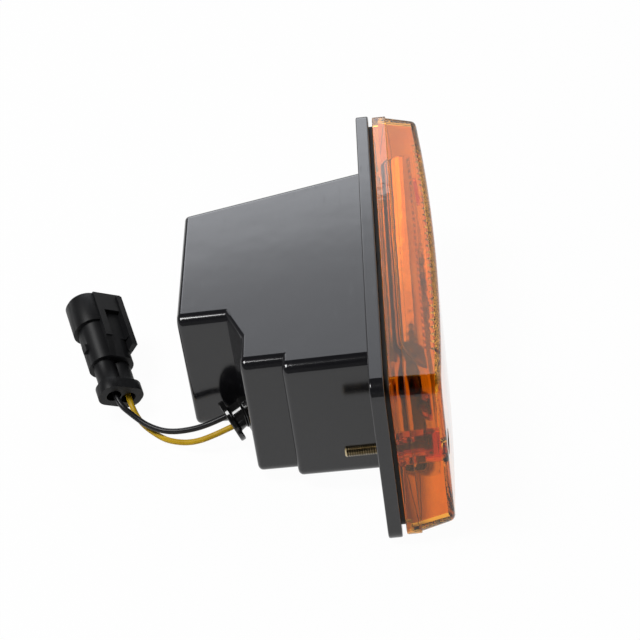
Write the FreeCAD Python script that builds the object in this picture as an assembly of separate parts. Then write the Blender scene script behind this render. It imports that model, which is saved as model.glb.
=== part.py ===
import FreeCAD, Part
import math
import os

# Vehicle indicator lamp, in millimetres. X runs along the lamp, the lens faces -Y, Z is up.
# The origin is the centre of the flange's rear face, which lies against the vehicle's panel.

V = FreeCAD.Vector

# Flange and housing
flange_length = 174.0
flange_height = 67.0
flange_thickness = 4.8
flange_corner = 5.5
housing_depth = 66.3
housing_wall = 2.5
housing_half_front = 25.0
housing_half_back = 24.2
housing_round = 4.0
housing_corner = 1.8
far_end_front = 59.3
far_end_back = 42.3
near_end_first = 59.5
near_end_second = 55.0
near_end_third = 26.0
first_step_depth = 29.3
second_step_depth = 43.4
facet_run = 13.0
facet_rise = 5.4
edge_round = 0.6

# Fixing screws that hold the lens and stand out behind the flange
screw_from_end = 11.0
screw_diameter = 4.0
screw_hole_clearance = 0.25
screw_stand_out = 11.0
screw_shank_diameter = 3.5
thread_start = 0.15
screw_head_diameter = 7.4
screw_head_height = 2.8
screw_slot_width = 1.1
screw_slot_depth = 1.3
screw_tip_chamfer = 0.5

# Gasket and lens
gasket_thickness = 1.5
gasket_inset = 3.0
gasket_width = 2.2
lens_inset = 0.5
lens_rim_height = 5.2
lens_ledge_height = 2.2
lens_front = 25.5
lens_crown_radius = 1310.0
lens_wall = 2.4
lens_side_lean = 2.6
lens_dome_inset = 1.0
lens_edge_round = 0.4
lens_front_round = 2.4
boss_wall = 1.25
flute_pitch = 4.0
flute_rise = 1.3
flute_margin = 4.5
counterbore_diameter = 8.7
boss_floor = 15.0

# Reflector
reflector_thickness = 1.2
reflector_seat = 5.6
reflector_gap = 2.8
well_end_gap = 1.9
well_side_gap = 1.5
well_back_length = 52.0
well_back_height = 32.0
well_depth = 22.0
reflector_hole_radius = 9.6

# Bulb with a bayonet cap, and its socket
bulb_radius = 12.5
bulb_neck_radius = 7.0
bulb_glass_length = 34.0
bulb_neck_length = 8.0
bulb_shoulder = 3.4
bulb_bands = 9
cap_radius = 7.5
cap_length = 16.0
cap_front = 28.0
pin_radius = 1.0
pin_stand_out = 1.6
pin_from_cap_front = 8.0
contact_button_radius = 2.6
contact_button_height = 1.0
filament_radius = 0.5
filament_length = 6.0
filament_from_cap = 19.0
lead_radius = 0.35
lead_spacing = 5.0
shell_clearance = 0.15
shell_wall = 0.8
shell_front = 26.0
shell_back = 52.0
slot_clearance = 0.3
insulator_thickness = 3.0
plunger_radius = 2.2
plunger_flange = 1.0
holder_front = 48.0
holder_right = 13.0
holder_left = 17.0
holder_top = 13.0
holder_bottom = 19.0
holder_round = 2.0
terminal_radius = 1.7
terminal_length = 7.0

# Wires and the rubber grommet they pass through
wire_radius = 1.05
wire_pair_offset = 1.8
wire_pair_rise = 1.2
bend_share = 0.45
grommet_height = -12.6
grommet_stand_off = 8.0
grommet_disc_radius = 8.0
grommet_disc_thickness = 2.0
grommet_groove_radius = 4.9
grommet_collar_radius = 5.6
grommet_inner_radius = 6.2
grommet_shift = 0.65
grommet_collar_thickness = 2.6
grommet_neck_radius = 4.8
grommet_bore_radius = 3.7
grommet_web = 6.0
grommet_inner_flange = 2.0
wire_straight_out = 6.0
wire_straight_in = 13.0
wire_inner_run = 7.0
wire_inner_turns = 4
wire_last_run = 5.25
plug_straight = -2.5

# Plug housing at the wires' far end
plug_end = V(-20.6, 92.1, -10.6)
plug_heading = 16.4
plug_pitch = 16.0
plug_roll = 34.0
plug_length = 44.0
contact_pitch = 6.0
collar_length = 4.5
collar_width = 17.0
collar_thickness = 10.6
rear_tube_radius = 4.1
body_start = 14.0
body_width = 16.6
body_thickness = 12.6
shroud_start = 31.0
shroud_width = 20.0
shroud_thickness = 14.4
shroud_wall = 1.4
shroud_floor = 25.0
panel_width = 11.6
panel_shift = -2.2
panel_start = 23.0
panel_top = 8.0
window_width = 6.4
window_start = 22.0
window_end = 35.6
rail_start = 19.0
rail_width = 2.2
rib_width = 2.4
rib_top = 7.6
nub_length = 3.0
nub_stand_out = 1.1
nub_half = 1.2
plug_flat = 0.6
rail_rise = 0.6
seal_start = 5.0
seal_end = 10.0
seal_hole_radius = 2.7
wire_stop = 12.0
crimp_radius = 1.5
crimp_end = 21.0
tab_width = 1.5
tab_thickness = 0.8
tab_end = 36.0

# Sizes that follow from those above
lens_rear = flange_thickness + gasket_thickness
dome_start = lens_rear + lens_rim_height
screw_x = flange_length / 2 - screw_from_end
screw_hole_radius = screw_diameter / 2 + screw_hole_clearance
boss_radius = counterbore_diameter / 2 + boss_wall
shell_inner = cap_radius + shell_clearance
shell_outer = shell_inner + shell_wall
cap_back = cap_front + cap_length
facet_angle = math.atan2(facet_rise, facet_run)
facet_out = V(-math.sin(facet_angle), math.cos(facet_angle), 0)
facet_along = V(math.cos(facet_angle), math.sin(facet_angle), 0)
facet_inner_x = -near_end_third
facet_outer_x = -near_end_third - facet_run
facet_middle = V((facet_inner_x + facet_outer_x) / 2, second_step_depth + facet_rise / 2, grommet_height)
facet_middle = facet_middle - facet_along * grommet_shift
tiny = 0.001
overlap = 1.0
clear_past = 30.0


def block(x0, x1, y0, y1, z0, z1):
    return Part.makeBox(x1 - x0, y1 - y0, z1 - z0, V(x0, y0, z0))


def outline(length, height, radius, y):
    """A closed rounded rectangle in the plane at y."""
    plate = block(-length / 2, length / 2, 0, 1, -height / 2, height / 2)
    corners = [e for e in plate.Edges if abs(e.Vertexes[0].Y - e.Vertexes[-1].Y) > 0.5]
    plate = plate.makeFillet(radius, corners)
    face = [f for f in plate.Faces if abs(f.CenterOfMass.y) < tiny][0]
    wire = face.OuterWire.copy()
    wire.translate(V(0, y, 0))
    return wire


def plate(length, height, radius, y0, y1):
    return Part.Face(outline(length, height, radius, y0)).extrude(V(0, y1 - y0, 0))


def rings(solid):
    """The edges round a plate's two faces."""
    return [e for e in solid.Edges if abs(e.BoundBox.YMax - e.BoundBox.YMin) < tiny]


def loft(length0, height0, radius0, y0, length1, height1, radius1, y1):
    first = outline(length0, height0, radius0, y0)
    last = outline(length1, height1, radius1, y1)
    return Part.makeLoft([first, last], True, True)


def rod(radius, start, end):
    along = end - start
    return Part.makeCylinder(radius, along.Length, start, along)


def fused(shapes):
    return shapes[0].fuse(shapes[1:]).removeSplitter()


def spun(points, start, direction):
    """Turns a closed profile of (radius, distance) pairs about a line."""
    wire = Part.makePolygon([V(r, 0, h) for r, h in points + points[:1]])
    solid = Part.Face(wire).revolve(V(0, 0, 0), V(0, 0, 1), 360)
    turn = FreeCAD.Rotation(V(0, 0, 1), direction)
    solid.Placement = FreeCAD.Placement(start, turn)
    return solid


def rounded_path(points):
    """Straight runs joined by tangent arcs; also gives the arcs' radii."""
    edges = []
    radii = []
    last = points[0]
    for before, corner, after in zip(points, points[1:], points[2:]):
        back = before - corner
        on = after - corner
        turn = math.pi - back.getAngle(on)
        reach = bend_share * min(back.Length, on.Length)
        radii.append(reach / math.tan(turn / 2))
        back.normalize()
        on.normalize()
        middle = back + on
        middle.normalize()
        start = corner + back * reach
        end = corner + on * reach
        to_centre = radii[-1] / math.cos(turn / 2)
        top = corner + middle * (to_centre - radii[-1])
        edges.append(Part.makeLine(last, start))
        edges.append(Part.Arc(start, top, end).toShape())
        last = end
    edges.append(Part.makeLine(last, points[-1]))
    return Part.Wire(edges), radii


def wire_tube(name, points):
    path, radii = rounded_path(points)
    along = points[1] - points[0]
    ring = Part.Wire(Part.makeCircle(wire_radius, points[0], along))
    tube = path.makePipeShell([ring], True, False)
    section = math.pi * wire_radius ** 2 * path.Length
    print(name, "length", round(path.Length, 1), "least radius", round(min(radii), 1))
    print(name, "volume against section by length", round(tube.Volume / section, 4))
    return tube


def save(name, shape):
    shape.exportStep("parts/" + name + ".step")
    print(name, "volume", round(shape.Volume, 1), "valid", shape.isValid())


# Housing: a stepped, tapered shell with the flange in one moulding

def far_end_at(depth):
    """Where the slanted far end stands at a depth behind the flange."""
    return far_end_front + (far_end_back - far_end_front) * depth / housing_depth


def plan(front):
    """The housing's outline seen from above, from y = front to its back."""
    return [
        V(-near_end_first, front, 0),
        V(-near_end_first, first_step_depth, 0),
        V(-near_end_second, first_step_depth, 0),
        V(-near_end_second, second_step_depth, 0),
        V(facet_outer_x, second_step_depth, 0),
        V(facet_inner_x, second_step_depth + facet_rise, 0),
        V(-near_end_third, housing_depth, 0),
        V(far_end_back, housing_depth, 0),
        V(far_end_front, 0, 0),
        V(far_end_front, front, 0),
    ]


def step_plan(near_end, depth):
    """One step of the housing seen from above, from the flange to its own depth."""
    return [V(-near_end, 0, 0), V(-near_end, depth, 0), V(far_end_at(depth), depth, 0), V(far_end_front, 0, 0)]


def tapered(wire, half_front, half_back):
    """The plan drawn out in Z and cut to the housing's taper in height."""
    face = Part.Face(wire)
    tall = face.extrude(V(0, 0, 2 * half_front))
    tall.translate(V(0, 0, -half_front))
    slope = (half_back - half_front) / housing_depth
    start = -clear_past
    end = housing_depth + clear_past
    sides = [(start, 1), (end, 1), (end, -1), (start, -1)]
    wedge = Part.makePolygon([V(0, y, s * (half_front + slope * max(y, 0))) for y, s in sides + sides[:1]])
    bar = Part.Face(wedge).extrude(V(2 * flange_length, 0, 0))
    bar.translate(V(-flange_length, 0, 0))
    return tall.common(bar)


def rounded_step(points, depth):
    """A step with its long edges well rounded, then a smaller rounding all round its rear face."""
    step = tapered(Part.makePolygon(points + points[:1]), housing_half_front, housing_half_back)
    level = [f for f in step.Faces if abs(f.normalAt(0, 0).z) > 0.5]
    long_edges = [e for f in level for e in f.Edges if e.BoundBox.YLength > depth / 2]
    step = step.makeFillet(housing_round, long_edges)
    rear = [f for f in step.Faces if f.BoundBox.YMin > depth - tiny][0]
    return step.makeFillet(housing_corner, rear.Edges)


facet_plan = [
    V(facet_outer_x, 0, 0),
    V(facet_outer_x, second_step_depth, 0),
    V(facet_inner_x, second_step_depth + facet_rise, 0),
    V(facet_inner_x, 0, 0),
]
steps = [
    rounded_step(step_plan(near_end_first, first_step_depth), first_step_depth),
    rounded_step(step_plan(near_end_second, second_step_depth), second_step_depth),
    rounded_step(step_plan(near_end_third, housing_depth), housing_depth),
]
gusset = tapered(Part.makePolygon(facet_plan + facet_plan[:1]), housing_half_front, housing_half_back)
slanted = [e for e in gusset.Edges if e.BoundBox.ZLength < overlap and e.BoundBox.YMin > second_step_depth - tiny]
gusset = gusset.makeFillet(housing_corner, slanted)
outer = fused(steps + [gusset])
inner_plan = Part.makePolygon(plan(-clear_past) + plan(-clear_past)[:1]).makeOffset2D(-housing_wall, 2)
inner = tapered(inner_plan, housing_half_front - housing_wall, housing_half_back - housing_wall)
flange = plate(flange_length, flange_height, flange_corner, -flange_thickness, 0)
flange = flange.makeFillet(edge_round, rings(flange))
holes = [rod(screw_hole_radius, V(x, -clear_past, 0), V(x, clear_past, 0)) for x in (-screw_x, screw_x)]
through = facet_out * clear_past / 3
grommet_hole = rod(grommet_neck_radius, facet_middle - through, facet_middle + through)
housing = fused([outer, flange]).cut(holes + [inner, grommet_hole])
save_list = [("housing", housing)]

# Gasket between the flange and the lens rim
gasket_length = flange_length - 2 * gasket_inset
gasket_height = flange_height - 2 * gasket_inset
ring_length = gasket_length - 2 * gasket_width
ring_height = gasket_height - 2 * gasket_width
gasket = plate(gasket_length, gasket_height, flange_corner, -lens_rear, -flange_thickness)
gasket = gasket.cut(plate(ring_length, ring_height, flange_corner - gasket_width, -lens_rear - 1, 0))
save_list.append(("lens_gasket", gasket))

# Lens: rim, leaning dome with a crowned front, and a hollow boss for each screw
lens_length = flange_length - 2 * lens_inset
lens_height = flange_height - 2 * lens_inset
dome_length = flange_length - 2 * lens_dome_inset
dome_height = flange_height - 2 * lens_dome_inset
lens_top = lens_front + overlap
lean = 2 * lens_side_lean


def crown(front):
    """Everything behind the crowned front surface."""
    return Part.makeCylinder(lens_crown_radius, 2 * flange_height,
                             V(0, lens_crown_radius - front, -flange_height), V(0, 0, 1))


rim = plate(lens_length, lens_height, flange_corner, -dome_start, -lens_rear)
rim = rim.makeFillet(lens_edge_round, rings(rim))
dome = loft(dome_length, dome_height, flange_corner, -dome_start,
            dome_length - lean, dome_height - lean, flange_corner, -lens_top)
dome = dome.common(crown(lens_front))
front_edges = [e for e in dome.Edges if max(v.Y for v in e.Vertexes) < -dome_start - lens_wall
               and min(v.Y for v in e.Vertexes) < -dome_start - lens_wall]
dome = dome.makeFillet(lens_front_round, front_edges)
thin = 2 * lens_wall
hollow_corner = flange_corner - lens_wall / 2
hollow_start = -lens_rear - lens_ledge_height
hollow = loft(dome_length - thin, dome_height - thin, hollow_corner, hollow_start,
              dome_length - thin - lean, dome_height - thin - lean, hollow_corner, -lens_top)
hollow = hollow.common(crown(lens_front - lens_wall))
flutes = []
flute_half = (dome_height - thin - lean) / 2 + overlap
flute_count = int((screw_x - boss_radius - flute_margin) / flute_pitch)
for i in range(-flute_count, flute_count + 1):
    x = i * flute_pitch
    sag = lens_crown_radius - math.sqrt(lens_crown_radius ** 2 - x ** 2)
    base = -lens_front + lens_wall / 2 + sag
    top = -lens_front + lens_wall + sag + flute_rise
    half = flute_pitch / 2
    ends = [V(x - half, base, -flute_half), V(x + half, base, -flute_half), V(x, top, -flute_half)]
    flutes.append(Part.Face(Part.makePolygon(ends + ends[:1])).extrude(V(0, 0, 2 * flute_half)))
hollow = hollow.cut(flutes)
mouth = plate(ring_length, ring_height, flange_corner - gasket_width, -lens_rear - lens_ledge_height - 1, 0)
bosses = []
bores = []
for x in (-screw_x, screw_x):
    boss = rod(boss_radius, V(x, -flange_thickness, 0), V(x, -lens_front, 0))
    bosses.append(boss.common(crown(lens_front - lens_wall / 2)))
    bores.append(rod(counterbore_diameter / 2, V(x, -boss_floor, 0), V(x, -lens_front - overlap, 0)))
    bores.append(rod(screw_hole_radius, V(x, overlap, 0), V(x, -lens_front, 0)))
lens = fused([rim, dome]).cut([hollow, mouth])
lens = fused([lens] + bosses).cut(bores)
save_list.append(("lens", lens))

# Two long screws: slotted pan head in the counterbore, end standing out behind the flange
screws = []
for x in (-screw_x, screw_x):
    thread = rod(screw_diameter / 2, V(x, thread_start, 0), V(x, screw_stand_out, 0))
    tip = [e for e in thread.Edges if min(v.Y for v in e.Vertexes) > screw_stand_out - tiny]
    thread = thread.makeChamfer(screw_tip_chamfer, tip)
    shank = rod(screw_shank_diameter / 2, V(x, -boss_floor, 0), V(x, screw_stand_out / 2, 0))
    head = rod(screw_head_diameter / 2, V(x, -boss_floor, 0), V(x, -boss_floor - screw_head_height, 0))
    slot_floor = -boss_floor - screw_head_height + screw_slot_depth
    slot = block(x - screw_head_diameter, x + screw_head_diameter, slot_floor - screw_head_height, slot_floor,
                 -screw_slot_width / 2, screw_slot_width / 2)
    screws.append(fused([shank, thread, head]).cut(slot))
save_list.append(("lens_screws", Part.makeCompound(screws)))

# Reflector: a metallised tray lying on the flange, with a well for the bulb
mouth_length = near_end_first + far_end_front
reflector_length = mouth_length + 2 * reflector_seat
reflector_height = ring_height - 2 * reflector_gap
well_front_length = mouth_length - 2 * housing_wall - 2 * well_end_gap
well_front_height = 2 * (housing_half_front - housing_wall - well_side_gap)
tray_front = -flange_thickness - reflector_thickness
skin = 2 * reflector_thickness
tray = plate(reflector_length, reflector_height, flange_corner, tray_front, -flange_thickness)
well = loft(well_front_length, well_front_height, flange_corner, tray_front,
            well_back_length, well_back_height, flange_corner, well_depth)
space = loft(well_front_length - skin, well_front_height - skin, flange_corner, tray_front,
             well_back_length - skin, well_back_height - skin, flange_corner, well_depth - reflector_thickness)
bulb_hole = rod(reflector_hole_radius, V(0, 0, 0), V(0, 2 * well_depth, 0))
reflector = fused([tray, well]).cut([space, bulb_hole])
save_list.append(("reflector", reflector))

# Bulb: glass, metal cap with its two pins and contact button, and the filament on its leads
glass_front = cap_front - bulb_glass_length
ball_y = glass_front + bulb_radius
neck_end = cap_front - bulb_neck_length
glass_side = [(0, glass_front)]
sweep = math.pi - math.acos(bulb_shoulder / bulb_radius)
for i in range(1, bulb_bands + 1):
    turn = sweep * i / bulb_bands
    glass_side.append((bulb_radius * math.sin(turn), ball_y - bulb_radius * math.cos(turn)))
glass_side = glass_side + [(bulb_neck_radius, neck_end), (bulb_neck_radius, cap_front), (0, cap_front)]
glass = spun(glass_side, V(0, 0, 0), V(0, 1, 0))
filament_y = cap_front - filament_from_cap
half_coil = filament_length / 2
coil = rod(filament_radius, V(-half_coil, filament_y, 0), V(half_coil, filament_y, 0))
leads = []
for x in (-lead_spacing / 2, lead_spacing / 2):
    leads.append(rod(lead_radius, V(x, filament_y, 0), V(x, cap_front, 0)))
filament = fused([coil] + leads)
save_list.append(("bulb_glass", glass.cut(filament)))
save_list.append(("bulb_filament", filament))
cap = rod(cap_radius, V(0, cap_front, 0), V(0, cap_back, 0))
button = rod(contact_button_radius, V(0, cap_back, 0), V(0, cap_back + contact_button_height, 0))
pin_y = cap_front + pin_from_cap_front
pin_reach = cap_radius + pin_stand_out
pins = rod(pin_radius, V(0, pin_y, -pin_reach), V(0, pin_y, pin_reach))
save_list.append(("bulb_cap", fused([cap, pins])))
save_list.append(("bulb_contact", button))

# Socket: slotted metal shell, insulating disc, plunger, and the block that holds them to the back
shell = rod(shell_outer, V(0, shell_front, 0), V(0, shell_back, 0))
shell = shell.cut(rod(shell_inner, V(0, 0, 0), V(0, housing_depth, 0)))
slot_half = pin_radius + slot_clearance
slot = block(-slot_half, slot_half, 0, pin_y + slot_half, -flange_height, flange_height)
shell = shell.cut(slot)
save_list.append(("socket_shell", shell))
disc_front = shell_back - insulator_thickness
disc = rod(shell_inner, V(0, disc_front, 0), V(0, shell_back, 0))
plunger_hole = rod(plunger_radius, V(0, 0, 0), V(0, housing_depth, 0))
save_list.append(("socket_insulator", disc.cut(plunger_hole)))
plunger_front = cap_back + contact_button_height
plunger = rod(plunger_radius, V(0, plunger_front, 0), V(0, shell_back, 0))
plate_back = disc_front
plunger = fused([plunger, rod(plunger_radius + plunger_flange, V(0, plunger_front, 0), V(0, plate_back, 0))])
save_list.append(("socket_plunger", plunger))
back_inside = housing_depth - housing_wall
holder = block(-holder_left, holder_right, holder_front, back_inside, -holder_bottom, holder_top)
uprights = [e for e in holder.Edges if abs(e.Vertexes[0].Y - e.Vertexes[-1].Y) > 1]
holder = holder.makeFillet(holder_round, uprights)
holder = holder.cut(rod(shell_outer, V(0, 0, 0), V(0, shell_back, 0)))


# Wires: the plug's own frame first, then each route from plug to grommet to socket
plug_turn = FreeCAD.Rotation(V(0, 0, 1), plug_heading)
plug_turn = plug_turn.multiply(FreeCAD.Rotation(V(0, 1, 0), -plug_pitch))
plug_turn = plug_turn.multiply(FreeCAD.Rotation(V(1, 0, 0), plug_roll))
plug_place = FreeCAD.Placement(plug_end, plug_turn)


def in_plug(x, y, z):
    return plug_place.multVec(V(x, y, z))


def heading(angle):
    return V(math.cos(angle), math.sin(angle), 0)


def inner_route(hole):
    """From the grommet into the housing, round to the socket's terminals."""
    first = math.atan2(-facet_out.y, -facet_out.x)
    step = (math.pi / 2 - first) / wire_inner_turns
    points = [hole - facet_out * wire_straight_in]
    for i in range(1, wire_inner_turns):
        points.append(points[-1] + heading(first + i * step) * wire_inner_run)
    end = points[-1]
    points.append(V(end.x, end.y + wire_last_run, end.z))
    return points


def route(side, middle_points):
    """side is 1 for the black wire and -1 for the yellow one."""
    hole = facet_middle + facet_out * grommet_stand_off
    hole = hole + facet_along * side * wire_pair_offset + V(0, 0, side * wire_pair_rise)
    y = side * contact_pitch / 2
    start = [in_plug(wire_stop, y, 0), in_plug(plug_straight, y, 0)]
    return start + middle_points + [hole + facet_out * wire_straight_out] + inner_route(hole)


black_bends = [V(-28.0, 87.4, -14.5), V(-31.1, 82.6, -16.9), V(-34.2, 75.5, -18.2), V(-35.7, 66.1, -16.8)]
yellow_bends = [V(-26.9, 86.1, -18.2), V(-31.7, 80.6, -20.4), V(-36.2, 75.2, -20.6), V(-39.7, 65.0, -20.0)]
black_route = route(1, black_bends)
yellow_route = route(-1, yellow_bends)
for label, points in (("black", black_route), ("yellow", yellow_route)):
    print(label, [(round(p.x, 3), round(p.y, 3), round(p.z, 3)) for p in points])
black_wire = wire_tube("black_wire", black_route)
yellow_wire = wire_tube("yellow_wire", yellow_route)
save_list.append(("black_wire", black_wire))
save_list.append(("yellow_wire", yellow_wire))

# Crimped terminals in the holder, one on each wire's end
terminals = []
for points in (black_route, yellow_route):
    end = points[-1]
    terminals.append(rod(terminal_radius, end, end + V(0, terminal_length, 0)))
    front = V(end.x, 0, end.z)
    holder = holder.cut(rod(terminal_radius, front, end + V(0, terminal_length, 0)))
save_list.append(("socket_terminals", Part.makeCompound(terminals)))
save_list.append(("socket_holder", holder))

# Grommet: outer disc, collar, neck through the wall and inner flange, hollow behind a web
face_at = grommet_stand_off
disc_at = face_at - grommet_disc_thickness
flange_at = -housing_wall
inner_at = flange_at - grommet_inner_flange
web_at = face_at - grommet_web
profile = [
    (0, face_at), (grommet_disc_radius, face_at), (grommet_disc_radius, disc_at), (grommet_groove_radius, disc_at),
    (grommet_groove_radius, grommet_collar_thickness), (grommet_collar_radius, grommet_collar_thickness),
    (grommet_collar_radius, 0), (grommet_neck_radius, 0), (grommet_neck_radius, flange_at),
    (grommet_inner_radius, flange_at), (grommet_neck_radius, inner_at), (grommet_bore_radius, inner_at),
    (grommet_bore_radius, web_at), (0, web_at),
]
grommet = spun(profile, facet_middle, facet_out)
for side in (1, -1):
    hole = facet_middle + facet_along * side * wire_pair_offset + V(0, 0, side * wire_pair_rise)
    grommet = grommet.cut(rod(wire_radius, hole - facet_out * clear_past, hole + facet_out * clear_past))
save_list.append(("grommet", grommet))


# Plug housing in its own frame: wire end at x = 0, mouth at x = plug_length

def oval(x0, x1, width, thickness):
    radius = thickness / 2 - plug_flat
    bar = block(x0, x1, -width / 2, width / 2, -thickness / 2, thickness / 2)
    long_edges = [e for e in bar.Edges if abs(e.Vertexes[0].X - e.Vertexes[-1].X) > 0.5]
    return bar.makeFillet(radius, long_edges)


half_pitch = contact_pitch / 2
tubes = [rod(rear_tube_radius, V(1, y, 0), V(body_start + 1, y, 0)) for y in (-half_pitch, half_pitch)]
panel_left = panel_shift + panel_width / 2
panel_right = panel_shift - panel_width / 2
panel = block(panel_start, plug_length, panel_right, panel_left, 0, panel_top)
window_floor = body_thickness / 2
window = block(window_start, window_end, panel_shift - window_width / 2, panel_shift + window_width / 2,
               window_floor, panel_top + 1)
rail = block(rail_start, plug_length - 1, panel_right, panel_right + rail_width, 0, panel_top + rail_rise)
rib_back = panel_start + 1
rib_side = [V(body_start, 0, 0), V(rib_back, 0, 0), V(rib_back, 0, rib_top), V(body_start, 0, window_floor)]
rib = Part.Face(Part.makePolygon(rib_side + rib_side[:1])).extrude(V(0, rib_width, 0))
rib.translate(V(0, panel_left - rib_width, 0))
nub_x = body_start + 6
nub = block(nub_x, nub_x + nub_length, 0, body_width / 2 + nub_stand_out, -nub_half, nub_half)
plug = fused(tubes + [
    oval(0, collar_length, collar_width, collar_thickness),
    oval(body_start, shroud_start + 1, body_width, body_thickness),
    oval(shroud_start, plug_length, shroud_width, shroud_thickness),
    panel, rail, rib, nub,
])
mouth_width = shroud_width - 2 * shroud_wall
mouth_thickness = shroud_thickness - 2 * shroud_wall
deep_width = body_width - 2 * shroud_wall
deep_thickness = body_thickness - 2 * shroud_wall
cuts = [oval(shroud_start + shroud_wall, plug_length + 1, mouth_width, mouth_thickness),
        oval(shroud_floor, plug_length, deep_width, deep_thickness), window]
contacts = []
seals = []
for y in (-half_pitch, half_pitch):
    cuts.append(rod(seal_hole_radius, V(-1, y, 0), V(wire_stop, y, 0)))
    cuts.append(rod(crimp_radius, V(0, y, 0), V(crimp_end, y, 0)))
    tab_hole = block(0, tab_end, y - tab_width / 2, y + tab_width / 2, -tab_thickness / 2, tab_thickness / 2)
    cuts.append(tab_hole)
    tab = block(crimp_end - 1, tab_end, y - tab_width / 2, y + tab_width / 2, -tab_thickness / 2, tab_thickness / 2)
    contacts.append(fused([rod(crimp_radius, V(wire_stop, y, 0), V(crimp_end, y, 0)), tab]))
    seal = rod(seal_hole_radius, V(seal_start, y, 0), V(seal_end, y, 0))
    seals.append(seal.cut(rod(wire_radius, V(0, y, 0), V(wire_stop, y, 0))))
plug = plug.cut(cuts)
contacts = Part.makeCompound(contacts)
seals = Part.makeCompound(seals)
for shape in (plug, contacts, seals):
    shape.Placement = plug_place
save_list.append(("plug_housing", plug))
save_list.append(("plug_contacts", contacts))
save_list.append(("plug_seals", seals))

os.makedirs("parts", exist_ok=True)
for name, shape in save_list:
    save(name, shape)
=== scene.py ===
import math

import bmesh
import bpy
from mathutils import Matrix, Vector


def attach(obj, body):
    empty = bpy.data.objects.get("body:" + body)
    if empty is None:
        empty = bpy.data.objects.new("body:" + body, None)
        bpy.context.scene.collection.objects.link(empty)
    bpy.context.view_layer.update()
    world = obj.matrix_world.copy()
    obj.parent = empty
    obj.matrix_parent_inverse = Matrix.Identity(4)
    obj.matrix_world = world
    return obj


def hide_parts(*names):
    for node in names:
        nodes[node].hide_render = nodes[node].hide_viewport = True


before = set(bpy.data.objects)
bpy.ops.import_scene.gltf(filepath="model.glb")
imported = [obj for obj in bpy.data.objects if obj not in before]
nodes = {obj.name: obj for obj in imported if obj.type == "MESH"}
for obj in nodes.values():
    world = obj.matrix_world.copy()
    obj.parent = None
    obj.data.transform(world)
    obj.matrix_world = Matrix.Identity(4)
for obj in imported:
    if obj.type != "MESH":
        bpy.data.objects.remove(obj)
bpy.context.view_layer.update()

# Lengths are in metres unless a comment says otherwise
WELD_GAP = 0.000002
BEVEL_ANGLE = math.radians(40)


# Shared surface effects, built once as node groups

def new_group(name, inputs, outputs):
    """An empty shader node group with number inputs and number outputs."""
    group = bpy.data.node_groups.new(name, "ShaderNodeTree")
    for label, default in inputs:
        socket = group.interface.new_socket(name=label, in_out="INPUT", socket_type="NodeSocketFloat")
        socket.default_value = default
    for label in outputs:
        group.interface.new_socket(name=label, in_out="OUTPUT", socket_type="NodeSocketFloat")
    entry = group.nodes.new("NodeGroupInput")
    leave = group.nodes.new("NodeGroupOutput")
    return group, entry, leave


def moulded_skin_group():
    """Slow mottling of a moulded face, its fine grain, and thin scuffs."""
    group, entry, leave = new_group(
        "moulded_skin",
        [("Mottle Scale", 40.0), ("Grain Scale", 2500.0), ("Scuff Scale", 90.0)],
        ["Mottle", "Grain", "Scuff"])
    place = group.nodes.new("ShaderNodeTexCoord")
    for label, detail in (("Mottle", 3.0), ("Grain", 2.0)):
        noise = group.nodes.new("ShaderNodeTexNoise")
        noise.inputs["Detail"].default_value = detail
        group.links.new(place.outputs["Object"], noise.inputs["Vector"])
        group.links.new(entry.outputs[label + " Scale"], noise.inputs["Scale"])
        group.links.new(noise.outputs["Fac"], leave.inputs[label])
    stretch = group.nodes.new("ShaderNodeMapping")
    stretch.inputs["Scale"].default_value = (1.0, 6.0, 3.0)
    stretch.inputs["Rotation"].default_value = (0.3, 0.5, 0.4)
    scuff = group.nodes.new("ShaderNodeTexNoise")
    scuff.inputs["Detail"].default_value = 6.0
    thin = group.nodes.new("ShaderNodeMapRange")
    thin.inputs["From Min"].default_value = 0.62
    thin.inputs["From Max"].default_value = 0.72
    group.links.new(place.outputs["Object"], stretch.inputs["Vector"])
    group.links.new(stretch.outputs["Vector"], scuff.inputs["Vector"])
    group.links.new(entry.outputs["Scuff Scale"], scuff.inputs["Scale"])
    group.links.new(scuff.outputs["Fac"], thin.inputs["Value"])
    group.links.new(thin.outputs["Result"], leave.inputs["Scuff"])
    return group


moulded_skin = moulded_skin_group()


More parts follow.
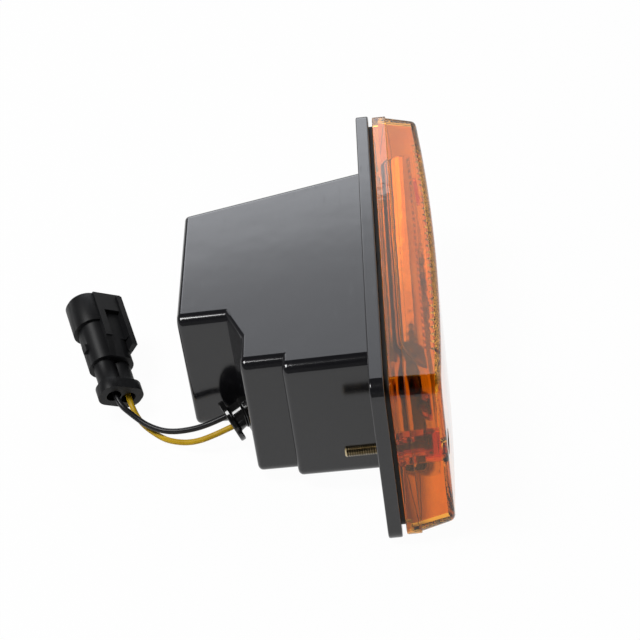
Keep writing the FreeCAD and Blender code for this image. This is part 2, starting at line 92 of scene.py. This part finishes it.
def finish_material(name, dark, light, rough, mottle=40.0, grain=2500.0, grain_depth=0.00001, wave=0.0,
                    **sockets):
    """A material whose colour drifts with the mottling and whose roughness rises in the scuffs,
    with grain as bump, on slow waves if a wave depth is given.
    Extra keyword values go straight to the shader's own sockets."""
    material = bpy.data.materials.new(name)
    material.use_nodes = True
    tree = material.node_tree
    shader = tree.nodes["Principled BSDF"]
    skin = tree.nodes.new("ShaderNodeGroup")
    skin.node_tree = moulded_skin
    skin.inputs["Mottle Scale"].default_value = mottle
    skin.inputs["Grain Scale"].default_value = grain
    tone = tree.nodes.new("ShaderNodeValToRGB")
    tone.color_ramp.elements[0].position = 0.3
    tone.color_ramp.elements[1].position = 0.7
    tone.color_ramp.elements[0].color = (*dark, 1.0)
    tone.color_ramp.elements[1].color = (*light, 1.0)
    tree.links.new(skin.outputs["Mottle"], tone.inputs["Fac"])
    tree.links.new(tone.outputs["Color"], shader.inputs["Base Color"])
    gloss = tree.nodes.new("ShaderNodeMapRange")
    gloss.inputs["To Min"].default_value = rough[0]
    gloss.inputs["To Max"].default_value = rough[1]
    tree.links.new(skin.outputs["Scuff"], gloss.inputs["Value"])
    tree.links.new(gloss.outputs["Result"], shader.inputs["Roughness"])
    bump = tree.nodes.new("ShaderNodeBump")
    bump.inputs["Strength"].default_value = 0.5
    bump.inputs["Distance"].default_value = grain_depth
    tree.links.new(skin.outputs["Grain"], bump.inputs["Height"])
    tree.links.new(bump.outputs["Normal"], shader.inputs["Normal"])
    if wave:
        swell = tree.nodes.new("ShaderNodeBump")
        swell.inputs["Strength"].default_value = 1.0
        swell.inputs["Distance"].default_value = wave
        tree.links.new(skin.outputs["Mottle"], swell.inputs["Height"])
        tree.links.new(swell.outputs["Normal"], bump.inputs["Normal"])
    for label, value in sockets.items():
        shader.inputs[label.replace("_", " ")].default_value = value
    return material


glossy_black = finish_material(
    "glossy_black_plastic", (0.008, 0.008, 0.0095), (0.013, 0.013, 0.015), (0.13, 0.2),
    mottle=25.0, grain=900.0, grain_depth=0.000004, wave=0.00012, IOR=1.56)
amber = finish_material(
    "amber_lens_plastic", (0.84, 0.33, 0.02), (0.89, 0.4, 0.034), (0.02, 0.05),
    mottle=80.0, grain=600.0, grain_depth=0.000004, wave=0.0001, Transmission_Weight=1.0, IOR=1.49)
gasket_rubber = finish_material(
    "gasket_rubber", (0.006, 0.006, 0.006), (0.012, 0.012, 0.012), (0.6, 0.75),
    grain=3000.0, grain_depth=0.00004)
yellow_plating = finish_material(
    "yellow_zinc_plating", (0.42, 0.34, 0.2), (0.6, 0.5, 0.32), (0.25, 0.4), mottle=300.0, Metallic=1.0)
mirror_coat = finish_material(
    "metallised_coat", (0.78, 0.78, 0.79), (0.88, 0.88, 0.88), (0.1, 0.18),
    mottle=32.0, wave=0.0006, Metallic=1.0)
clear_glass = finish_material(
    "bulb_clear_glass", (0.97, 0.97, 0.97), (1.0, 1.0, 1.0), (0.0, 0.03),
    grain_depth=0.0, Transmission_Weight=1.0, IOR=1.5)
tungsten = finish_material(
    "filament_tungsten", (0.2, 0.2, 0.21), (0.35, 0.35, 0.36), (0.3, 0.45), Metallic=1.0)
bright_brass = finish_material(
    "bright_brass", (0.7, 0.5, 0.2), (0.8, 0.62, 0.3), (0.2, 0.35), Metallic=1.0)
solder = finish_material("solder", (0.5, 0.5, 0.52), (0.65, 0.65, 0.66), (0.3, 0.5), Metallic=1.0)
plated_sheet = finish_material(
    "plated_sheet", (0.55, 0.55, 0.56), (0.68, 0.68, 0.69), (0.25, 0.4), Metallic=1.0)
brown_board = finish_material(
    "brown_laminate", (0.2, 0.1, 0.045), (0.3, 0.16, 0.08), (0.5, 0.65), mottle=200.0)
holder_black = finish_material(
    "holder_black_plastic", (0.02, 0.02, 0.02), (0.035, 0.035, 0.035), (0.4, 0.55))
tinned = finish_material(
    "tinned_contact", (0.55, 0.55, 0.56), (0.7, 0.7, 0.71), (0.25, 0.35), Metallic=1.0)
black_jacket = finish_material(
    "black_wire_jacket", (0.008, 0.008, 0.009), (0.014, 0.014, 0.016), (0.36, 0.48),
    mottle=200.0, Specular_IOR_Level=0.3)
yellow_jacket = finish_material(
    "yellow_wire_jacket", (0.52, 0.31, 0.004), (0.62, 0.39, 0.012), (0.4, 0.5),
    mottle=150.0, Specular_IOR_Level=0.25)
grommet_rubber = finish_material(
    "grommet_rubber", (0.004, 0.004, 0.004), (0.008, 0.008, 0.008), (0.12, 0.22), mottle=200.0)
satin_black = finish_material(
    "plug_satin_plastic", (0.007, 0.0072, 0.008), (0.011, 0.0112, 0.012), (0.46, 0.56),
    mottle=120.0, grain=4000.0, grain_depth=0.00002, Specular_IOR_Level=0.2)
brown_seal = finish_material(
    "brown_seal_rubber", (0.1, 0.04, 0.015), (0.16, 0.07, 0.03), (0.4, 0.55), mottle=300.0)

# Painted shade: the colour of the thread's grooves is darkened by their depth
GROOVE_SHADE = (0.012, 0.009, 0.006, 1.0)
MIX_COLOUR_A, MIX_COLOUR_B, MIX_COLOUR_OUT = 6, 7, 2  # a mix node's own colour sockets


def darken_grooves(material):
    """Painted shade in the thread's grooves, darker by the piece's own groove depth."""
    tree = material.node_tree
    shader = tree.nodes["Principled BSDF"]
    unshaded_colour = shader.inputs["Base Color"].links[0].from_socket
    depth = tree.nodes.new("ShaderNodeAttribute")
    depth.attribute_name = "groove"
    groove_shade = tree.nodes.new("ShaderNodeMix")
    groove_shade.data_type = "RGBA"
    tree.links.new(depth.outputs["Fac"], groove_shade.inputs["Factor"])
    tree.links.new(unshaded_colour, groove_shade.inputs[MIX_COLOUR_A])
    groove_shade.inputs[MIX_COLOUR_B].default_value = GROOVE_SHADE
    tree.links.new(groove_shade.outputs[MIX_COLOUR_OUT], shader.inputs["Base Color"])


darken_grooves(yellow_plating)

finishes = {
    "housing": glossy_black, "lens": amber, "lens_gasket": gasket_rubber, "lens_screws": yellow_plating,
    "reflector": mirror_coat, "bulb_glass": clear_glass, "bulb_filament": tungsten, "bulb_cap": bright_brass,
    "bulb_contact": solder, "socket_shell": plated_sheet, "socket_insulator": brown_board,
    "socket_plunger": bright_brass, "socket_holder": holder_black, "socket_terminals": tinned,
    "black_wire": black_jacket, "yellow_wire": yellow_jacket, "grommet": grommet_rubber,
    "plug_housing": satin_black, "plug_contacts": tinned, "plug_seals": brown_seal,
}
for name, material in finishes.items():
    mesh = nodes[name].data
    mesh.materials.clear()
    mesh.materials.append(material)


# What several pieces share

def add_object(name, shape, material):
    """Turns a finished bmesh into an object at the origin."""
    mesh = bpy.data.meshes.new(name)
    shape.to_mesh(mesh)
    shape.free()
    mesh.materials.append(material)
    piece = bpy.data.objects.new(name, mesh)
    bpy.context.scene.collection.objects.link(piece)
    return piece


def soft_edges(piece, width, segments):
    """Rounds a piece's sharp edges so that they catch the light."""
    edge = piece.modifiers.new("soft_edges", "BEVEL")
    edge.width = width
    edge.segments = segments
    edge.limit_method = "ANGLE"
    edge.angle_limit = BEVEL_ANGLE


# The two wires, from the socket to the plug. The ends lie on the solids' routes,
# and the points between grommet and plug follow the photograph. Points are in mm.

WIRE_RADIUS = 0.00105
wire_routes = {
    "black_wire": [
        (-12.04, 50.66, -11.4), (-12.04, 45.41, -11.4), (-16.479, 39.998, -11.4), (-23.344, 38.629, -11.4),
        (-29.52, 41.924, -11.4), (-35.4, 58.6, -14.8), (-35.4, 66.8, -17.1), (-34.2, 75.7, -18.1),
        (-31.2, 82.7, -16.8), (-28.0, 87.4, -14.5), (-24.051, 93.677, -9.677), (-10.68, 97.612, -5.68)],
    "yellow_wire": [
        (-15.364, 49.279, -13.8), (-15.364, 44.029, -13.8), (-19.804, 38.617, -13.8), (-26.669, 37.248, -13.8),
        (-32.845, 40.543, -13.8), (-38.9, 57.8, -17.5), (-39.3, 66.8, -20.0), (-36.3, 75.0, -20.7),
        (-32.0, 80.1, -20.7), (-27.1, 86.1, -18.0), (-21.76, 89.166, -12.902), (-8.388, 93.101, -8.905)],
}


def lay_wire(name, jacket):
    points = [Vector(p) / 1000 for p in wire_routes[name]]
    curve = bpy.data.curves.new(name + "_run", "CURVE")
    curve.dimensions = "3D"
    curve.bevel_depth = WIRE_RADIUS
    curve.bevel_resolution = 6
    curve.resolution_u = 16
    curve.use_fill_caps = True
    line = curve.splines.new("NURBS")
    line.points.add(len(points) - 1)
    for spot, point in zip(line.points, points):
        spot.co = (*point, 1.0)
    line.order_u = 3
    line.use_endpoint_u = True
    curve.materials.append(jacket)
    piece = bpy.data.objects.new(name + "_run", curve)
    bpy.context.scene.collection.objects.link(piece)
    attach(piece, "root")
    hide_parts(name)
    return piece


black_run = lay_wire("black_wire", black_jacket)
yellow_run = lay_wire("yellow_wire", yellow_jacket)


# The two screws: the solids' heads and shanks, with a cut thread on the end behind the flange

SCREW_PLACES = (-0.076, 0.076)
SHANK_CUT = -0.0005
CORE_RADIUS, CORE_START = 0.0017, -0.001
TIP_RADIUS, TIP_END = 0.0015, 0.011
THREAD_PITCH = 0.0008
THREAD_START = 0.00015
THREAD_END = 0.0105
THREAD_CREST = 0.002
THREAD_ROOT = 0.00158
NEAR_CREST = 0.00195
RUN_IN, RUN_OUT, LAST_DEPTH = 0.0004, 0.0003, 0.4
RINGS_PER_PITCH = 8
THREAD_SIDES = 32


def cut_thread(shape, groove, x):
    """Presses the thread into one screw's rings and notes how deep each point went."""
    turned = {v for f in shape.faces for v in f.verts
              if abs(v.co.x - x) < 0.003 and v.co.y > THREAD_START - 0.00001}
    for v in turned:
        out = Vector((v.co.x - x, 0, v.co.z))
        if out.length < NEAR_CREST:
            continue
        place = (v.co.y / THREAD_PITCH + math.atan2(out.z, out.x) / (2 * math.pi)) % 1.0
        depth = abs(2 * place - 1)
        fade = min(1.0, (v.co.y - THREAD_START) / RUN_IN, (THREAD_END - v.co.y) / RUN_OUT + LAST_DEPTH)
        out.length = THREAD_CREST - (THREAD_CREST - THREAD_ROOT) * depth * max(0.0, fade)
        # The groove depth also sets the painted shade in the thread's grooves
        v[groove] = depth * max(0.0, fade)
        v.co.x = x + out.x
        v.co.z = out.z


def threaded_screws():
    shape = bmesh.new()
    shape.from_mesh(nodes["lens_screws"].data)
    groove = shape.verts.layers.float.new("groove")
    bmesh.ops.remove_doubles(shape, verts=shape.verts, dist=WELD_GAP)
    everything = shape.verts[:] + shape.edges[:] + shape.faces[:]
    cut = bmesh.ops.bisect_plane(
        shape, geom=everything, plane_co=(0, SHANK_CUT, 0), plane_no=(0, 1, 0), clear_outer=True)
    rims = [e for e in cut["geom_cut"] if isinstance(e, bmesh.types.BMEdge)]
    bmesh.ops.edgeloop_fill(shape, edges=rims)
    rings = round((THREAD_END - THREAD_START) / THREAD_PITCH * RINGS_PER_PITCH)
    for x in SCREW_PLACES:
        side = [(0.0, CORE_START), (CORE_RADIUS, CORE_START), (CORE_RADIUS, THREAD_START)]
        side += [(THREAD_CREST, THREAD_START + (THREAD_END - THREAD_START) * i / rings)
                 for i in range(rings + 1)]
        side += [(TIP_RADIUS, TIP_END), (0.0, TIP_END)]
        verts = [shape.verts.new((x + r, y, 0)) for r, y in side]
        edges = [shape.edges.new(pair) for pair in zip(verts, verts[1:])]
        bmesh.ops.spin(shape, geom=verts + edges, cent=(x, 0, 0), axis=(0, 1, 0), angle=2 * math.pi,
                       steps=THREAD_SIDES, use_merge=True)
        cut_thread(shape, groove, x)
    bmesh.ops.remove_doubles(shape, verts=shape.verts, dist=WELD_GAP)
    bmesh.ops.recalc_face_normals(shape, faces=shape.faces)
    piece = add_object("threaded_screws", shape, yellow_plating)
    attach(piece, "root")
    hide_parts("lens_screws")


threaded_screws()


# Grommet, its outer disc pulled down by the wires' weight

GROMMET_MIDDLE = Vector((-0.0331, 0.04585, -0.0126))
GROMMET_OUT = Vector((-0.3836, 0.9235, 0)).normalized()
PULL_ANGLE = math.radians(17)
PULL_START, PULL_REACH = 0.001, 0.005


def pulled_grommet():
    along = Vector((GROMMET_OUT.y, -GROMMET_OUT.x, 0))
    shape = bmesh.new()
    shape.from_mesh(nodes["grommet"].data)
    bmesh.ops.remove_doubles(shape, verts=shape.verts, dist=WELD_GAP)
    for v in shape.verts:
        reach = min(1.0, max(0.0, ((v.co - GROMMET_MIDDLE).dot(GROMMET_OUT) - PULL_START) / PULL_REACH))
        pull = PULL_ANGLE * reach * reach * (3 - 2 * reach)
        bmesh.ops.rotate(shape, verts=[v], cent=GROMMET_MIDDLE, matrix=Matrix.Rotation(-pull, 3, along))
    for edge in shape.edges:
        edge.smooth = edge.calc_face_angle(0.0) < math.radians(35)
    for face in shape.faces:
        face.smooth = True
    piece = add_object("pulled_grommet", shape, grommet_rubber)
    soft_edges(piece, 0.0005, 3)
    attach(piece, "root")
    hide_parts("grommet")


pulled_grommet()


# Corner of the slanted facet: carries the flat long sides across to the last step, above and below

SIDE_NEAR, SIDE_FAR = -0.0300, 0.0963
SIDE_NEAR_HALF, SIDE_FAR_HALF = 0.025, 0.023838
CORNER_PLAN = [(-0.0285, 0.0413), (-0.0217, 0.0413), (-0.0217, 0.050586), (-0.0285, 0.047762)]
CORNER_FOOT = 0.015
CORNER_PROUD = 0.000004
CORNER_ROUND = 0.0018
CORNER_REAR = 0.045


def facet_corner():
    shape = bmesh.new()
    base = shape.faces.new([shape.verts.new((x, y, CORNER_FOOT)) for x, y in CORNER_PLAN])
    top = bmesh.ops.extrude_face_region(shape, geom=[base])["geom"]
    lid = [g for g in top if isinstance(g, bmesh.types.BMVert)]
    for v in lid:
        taper = (SIDE_FAR_HALF - SIDE_NEAR_HALF) * (v.co.y - SIDE_NEAR) / (SIDE_FAR - SIDE_NEAR)
        v.co.z = SIDE_NEAR_HALF + taper + CORNER_PROUD
    rear = [e for e in shape.edges if all(v in lid and v.co.y > CORNER_REAR for v in e.verts)]
    bmesh.ops.bevel(shape, geom=rear, offset=CORNER_ROUND, segments=5, profile=0.5, affect="EDGES", material=-1)
    both = shape.verts[:] + shape.edges[:] + shape.faces[:]
    bmesh.ops.mirror(shape, geom=both, axis="Z", merge_dist=0.0)
    bmesh.ops.recalc_face_normals(shape, faces=shape.faces)
    piece = add_object("facet_corner", shape, glossy_black)
    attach(piece, "root")


facet_corner()


# Moulded edges of the plug

def soften(name, width):
    weld = nodes[name].modifiers.new("join", "WELD")
    weld.merge_threshold = 0.000005
    soft_edges(nodes[name], width, 2)


soften("plug_housing", 0.00025)


# Reflector's flared bowl, standing on the tray round the mouth of the well and ending behind the lens front

BOWL_STEPS = 16
BOWL_LIP_HALF, BOWL_LIP_RISE = 0.0655, 0.0272
BOWL_REAR, BOWL_DEPTH = -0.00605, 0.0128
BOWL_END_FLARE, BOWL_SIDE_FLARE = 0.0075, 0.005
BOWL_END_POWER = 2.2
BOWL_WAIST = 0.62  # share of the depth at which the long sides are widest
BOWL_RETURN = 0.9
BOWL_CORNER = 0.006
BOWL_WALL = 0.0006


def reflector_bowl():
    half, rise = BOWL_LIP_HALF - BOWL_END_FLARE, BOWL_LIP_RISE - BOWL_SIDE_FLARE
    shape = bmesh.new()
    bmesh.ops.create_grid(shape, x_segments=1, y_segments=1, size=1.0)
    bmesh.ops.scale(shape, verts=shape.verts, vec=(half, rise, 1))
    bmesh.ops.rotate(shape, verts=shape.verts, matrix=Matrix.Rotation(math.pi / 2, 3, "X"))
    bmesh.ops.translate(shape, verts=shape.verts, vec=(0, BOWL_REAR, 0))
    bmesh.ops.bevel(shape, geom=shape.verts[:], offset=BOWL_CORNER, segments=8, profile=0.5,
                    affect="VERTICES", material=-1)
    floor = shape.faces[:]
    rim = shape.edges[:]
    for i in range(1, BOWL_STEPS + 1):
        forward = i / BOWL_STEPS
        new_half = BOWL_LIP_HALF - BOWL_END_FLARE * (1 - forward) ** BOWL_END_POWER
        share = 1.0 if forward < BOWL_WAIST else BOWL_RETURN
        new_rise = BOWL_LIP_RISE - BOWL_SIDE_FLARE * (1 - forward / BOWL_WAIST) ** 2 * share
        ring = bmesh.ops.extrude_edge_only(shape, edges=rim)["geom"]
        edge = [g for g in ring if isinstance(g, bmesh.types.BMVert)]
        rim = [g for g in ring
               if isinstance(g, bmesh.types.BMEdge) and g.verts[0] in edge and g.verts[1] in edge]
        bmesh.ops.scale(shape, verts=edge, vec=(new_half / half, 1, new_rise / rise))
        bmesh.ops.translate(shape, verts=edge, vec=(0, -BOWL_DEPTH / BOWL_STEPS, 0))
        half, rise = new_half, new_rise
    bmesh.ops.delete(shape, geom=floor, context="FACES_ONLY")
    bmesh.ops.recalc_face_normals(shape, faces=shape.faces)
    bmesh.ops.solidify(shape, geom=shape.faces[:], thickness=BOWL_WALL)
    for face in shape.faces:
        face.smooth = True
    piece = add_object("reflector_bowl", shape, mirror_coat)
    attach(piece, "root")


reflector_bowl()


# Node helpers for the stage and the surroundings

def math_node(tree, operation, first, second, clamp=False):
    """The result of a sum on a socket and another socket or a number."""
    node = tree.nodes.new("ShaderNodeMath")
    node.operation = operation
    node.use_clamp = clamp
    tree.links.new(first, node.inputs[0])
    if isinstance(second, float):
        node.inputs[1].default_value = second
    else:
        tree.links.new(second, node.inputs[1])
    return node.outputs[0]


def fade_node(tree, value, start, end, first, last):
    """Fades smoothly from first to last while the value runs from start to end."""
    node = tree.nodes.new("ShaderNodeMapRange")
    node.interpolation_type = "SMOOTHSTEP"
    for label, number in (("From Min", start), ("From Max", end), ("To Min", first), ("To Max", last)):
        node.inputs[label].default_value = number
    tree.links.new(value, node.inputs["Value"])
    return node.outputs["Result"]


# Stage: pale floor under the lamp, which lies on its long side and leans back on the housing's end.
# The camera and mirror reflections see it as plain white. Seen through the lens it is white in front, and under
# the lamp's own body a painted shadow fades the white out, leaving it mostly to the light that falls there.

FLANGE_HALF, HOUSING_END_HALF, HOUSING_DEPTH = 0.0335, 0.0243, 0.0663
FLOOR_LEVEL = -0.0337
FLOOR_HALF = 6.0
FLOOR_WHITE_SHARE = 0.97


def stage_floor():
    lean = math.atan2(FLANGE_HALF - HOUSING_END_HALF, HOUSING_DEPTH)
    material = bpy.data.materials.new("pale_floor")
    material.use_nodes = True
    shape = bmesh.new()
    bmesh.ops.create_grid(shape, x_segments=1, y_segments=1, size=FLOOR_HALF)
    bmesh.ops.rotate(shape, verts=shape.verts, matrix=Matrix.Rotation(lean, 3, "X"))
    bmesh.ops.translate(shape, verts=shape.verts, vec=(0, 0, FLOOR_LEVEL))
    floor = add_object("floor", shape, material)
    tree = material.node_tree
    shader = tree.nodes["Principled BSDF"]
    shader.inputs["Base Color"].default_value = (0.9, 0.9, 0.9, 1)
    shader.inputs["Roughness"].default_value = 0.9
    white = tree.nodes.new("ShaderNodeEmission")
    white.inputs["Strength"].default_value = 1.0
    path = tree.nodes.new("ShaderNodeLightPath").outputs
    # A refracted ray counts as glossy too, so it is taken off to leave true mirror rays
    mirrored = math_node(tree, "SUBTRACT", path["Is Glossy Ray"], path["Is Transmission Ray"], clamp=True)
    plain = math_node(tree, "MAXIMUM", path["Is Camera Ray"], mirrored)
    axes = tree.nodes.new("ShaderNodeSeparateXYZ")
    tree.links.new(tree.nodes.new("ShaderNodeTexCoord").outputs["Object"], axes.inputs["Vector"])
    # Painted shadow: through the lens, the floor's white fades out under the lamp's body
    painted_shadow_fade = fade_node(tree, axes.outputs["Y"], -0.0165, -0.0095, 1.0, 0.1)
    through = math_node(tree, "MULTIPLY", path["Is Transmission Ray"], painted_shadow_fade)
    seen = math_node(tree, "MAXIMUM", plain, through)
    mix = tree.nodes.new("ShaderNodeMixShader")
    tree.links.new(math_node(tree, "MULTIPLY", seen, FLOOR_WHITE_SHARE), mix.inputs["Fac"])
    tree.links.new(shader.outputs["BSDF"], mix.inputs[1])
    tree.links.new(white.outputs["Emission"], mix.inputs[2])
    tree.links.new(mix.outputs["Shader"], tree.nodes["Material Output"].inputs["Surface"])


stage_floor()


# Light: surroundings that are bright low down on the lens's side and dim elsewhere, and soft lamps.
# The camera itself sees white all round.

BRIGHT_SIDE = (0.45, -0.89, 0.0)
SOFTBOX_TINT = (0.92, 0.945, 1.0)
ORIGIN = (0, 0, 0)


def studio_world():
    world = bpy.data.worlds.new("studio")
    bpy.context.scene.world = world
    world.use_nodes = True
    tree = world.node_tree
    back = tree.nodes["Background"]
    way = tree.nodes.new("ShaderNodeTexCoord").outputs["Generated"]
    split = tree.nodes.new("ShaderNodeSeparateXYZ")
    tree.links.new(way, split.inputs["Vector"])
    height = fade_node(tree, split.outputs["Z"], 0.45, 0.7, 1.0, 0.08)
    towards = tree.nodes.new("ShaderNodeVectorMath")
    towards.operation = "DOT_PRODUCT"
    towards.inputs[1].default_value = BRIGHT_SIDE
    tree.links.new(way, towards.inputs[0])
    beside = fade_node(tree, towards.outputs["Value"], 0.4, 0.75, 0.12, 0.85)
    level = math_node(tree, "MULTIPLY", height, beside)
    path = tree.nodes.new("ShaderNodeLightPath")
    shown = math_node(tree, "MAXIMUM", path.outputs["Is Camera Ray"], level)
    tree.links.new(shown, back.inputs["Strength"])
    back.inputs["Color"].default_value = (1, 1, 1, 1)


def soft_lamp(name, place, aim, size, power, tint=(1.0, 1.0, 1.0), through_lens=True):
    light = bpy.data.lights.new(name, "AREA")
    light.shape = "RECTANGLE"
    light.size, light.size_y = size
    light.energy = power
    light.color = tint
    lamp = bpy.data.objects.new(name, light)
    lamp.location = place
    lamp.visible_transmission = through_lens
    lamp.rotation_euler = (Vector(aim) - Vector(place)).to_track_quat("-Z", "Y").to_euler()
    bpy.context.scene.collection.objects.link(lamp)


studio_world()
soft_lamp("tall_softbox", (1.35, 0.1, 0.78), ORIGIN, (0.95, 0.7), 3.0, tint=SOFTBOX_TINT)
soft_lamp("low_softbox", (1.35, 0.27, 0.543), ORIGIN, (0.68, 0.62), 2.65, tint=SOFTBOX_TINT)
# Through the lens the key would show as a bright dot in the bowl
soft_lamp("key", (-0.25, 0.5, 1.3), ORIGIN, (0.5, 0.5), 15.0, through_lens=False)


# Camera at the photograph's viewpoint, for a 640 by 640 image

view = bpy.data.cameras.new("photo_view")
view.sensor_width = 36.0
view.lens = 109.012
view.clip_start = 0.01
camera = bpy.data.objects.new("photo_view", view)
camera.location = (-0.56821, -0.02503, 0.41137)
camera.rotation_euler = tuple(math.radians(a) for a in (53.832, 6.866, -90.595))
scene = bpy.context.scene
scene.collection.objects.link(camera)
scene.camera = camera
scene.view_settings.view_transform = "Standard"

# The lens is a thick clear wall with flutes, so light bounces inside it many times before it leaves
scene.cycles.max_bounces = 32
scene.cycles.glossy_bounces = 24
scene.cycles.transmission_bounces = 32
